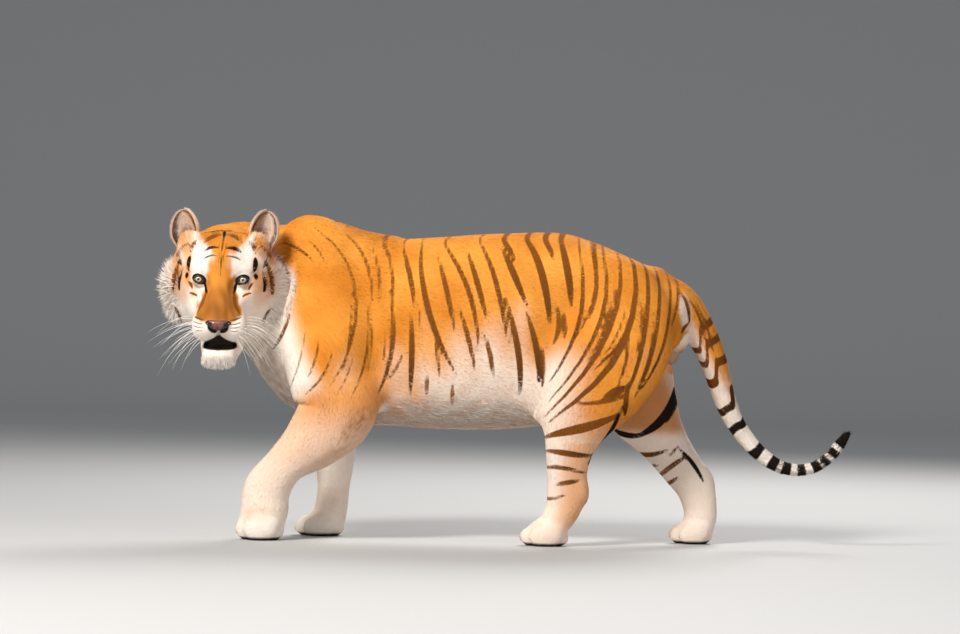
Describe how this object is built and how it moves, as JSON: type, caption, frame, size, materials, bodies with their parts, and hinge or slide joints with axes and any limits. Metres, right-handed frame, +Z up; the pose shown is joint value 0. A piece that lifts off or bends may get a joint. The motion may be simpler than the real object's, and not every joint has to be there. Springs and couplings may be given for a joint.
{
  "type": "tiger",
  "caption": "Life-size still model of an adult male golden tabby tiger in a slow walk, head turned to its left, standing on its four paws.",
  "frame": {"origin": "on the floor, under the middle of the bounding box", "axes": "+Z up, +X towards the tail, so the trunk walks towards -X and the face looks along -Y"},
  "size_m": [2.0202, 0.6104, 0.9628],
  "materials": {
    "gold_coat": "short fur, golden with brown stripes",
    "cream_coat": "short fur, cream white",
    "nose_leather": "moist pebbled skin, dusky pink",
    "eye": "clear cornea over a pale yellow-green iris"
  },
  "bodies": {
    "root": {"trunk": "gold_coat", "neck": "gold_coat", "head": "gold_coat", "lower_jaw": "cream_coat", "nose": "nose_leather", "ear_left": "gold_coat", "ear_right": "gold_coat", "eye_left": "eye", "eye_right": "eye", "upper_arm_left": "gold_coat", "upper_arm_right": "gold_coat", "forearm_left": "gold_coat", "forearm_right": "gold_coat", "forepaw_left": "cream_coat", "forepaw_right": "cream_coat", "thigh_left": "gold_coat", "thigh_right": "gold_coat", "shank_left": "gold_coat", "shank_right": "gold_coat", "hindpaw_left": "cream_coat", "hindpaw_right": "cream_coat", "scrotum": "gold_coat", "tail_root": "gold_coat", "tail_middle": "gold_coat", "tail_tip": "gold_coat"}
  },
  "joints": []
}
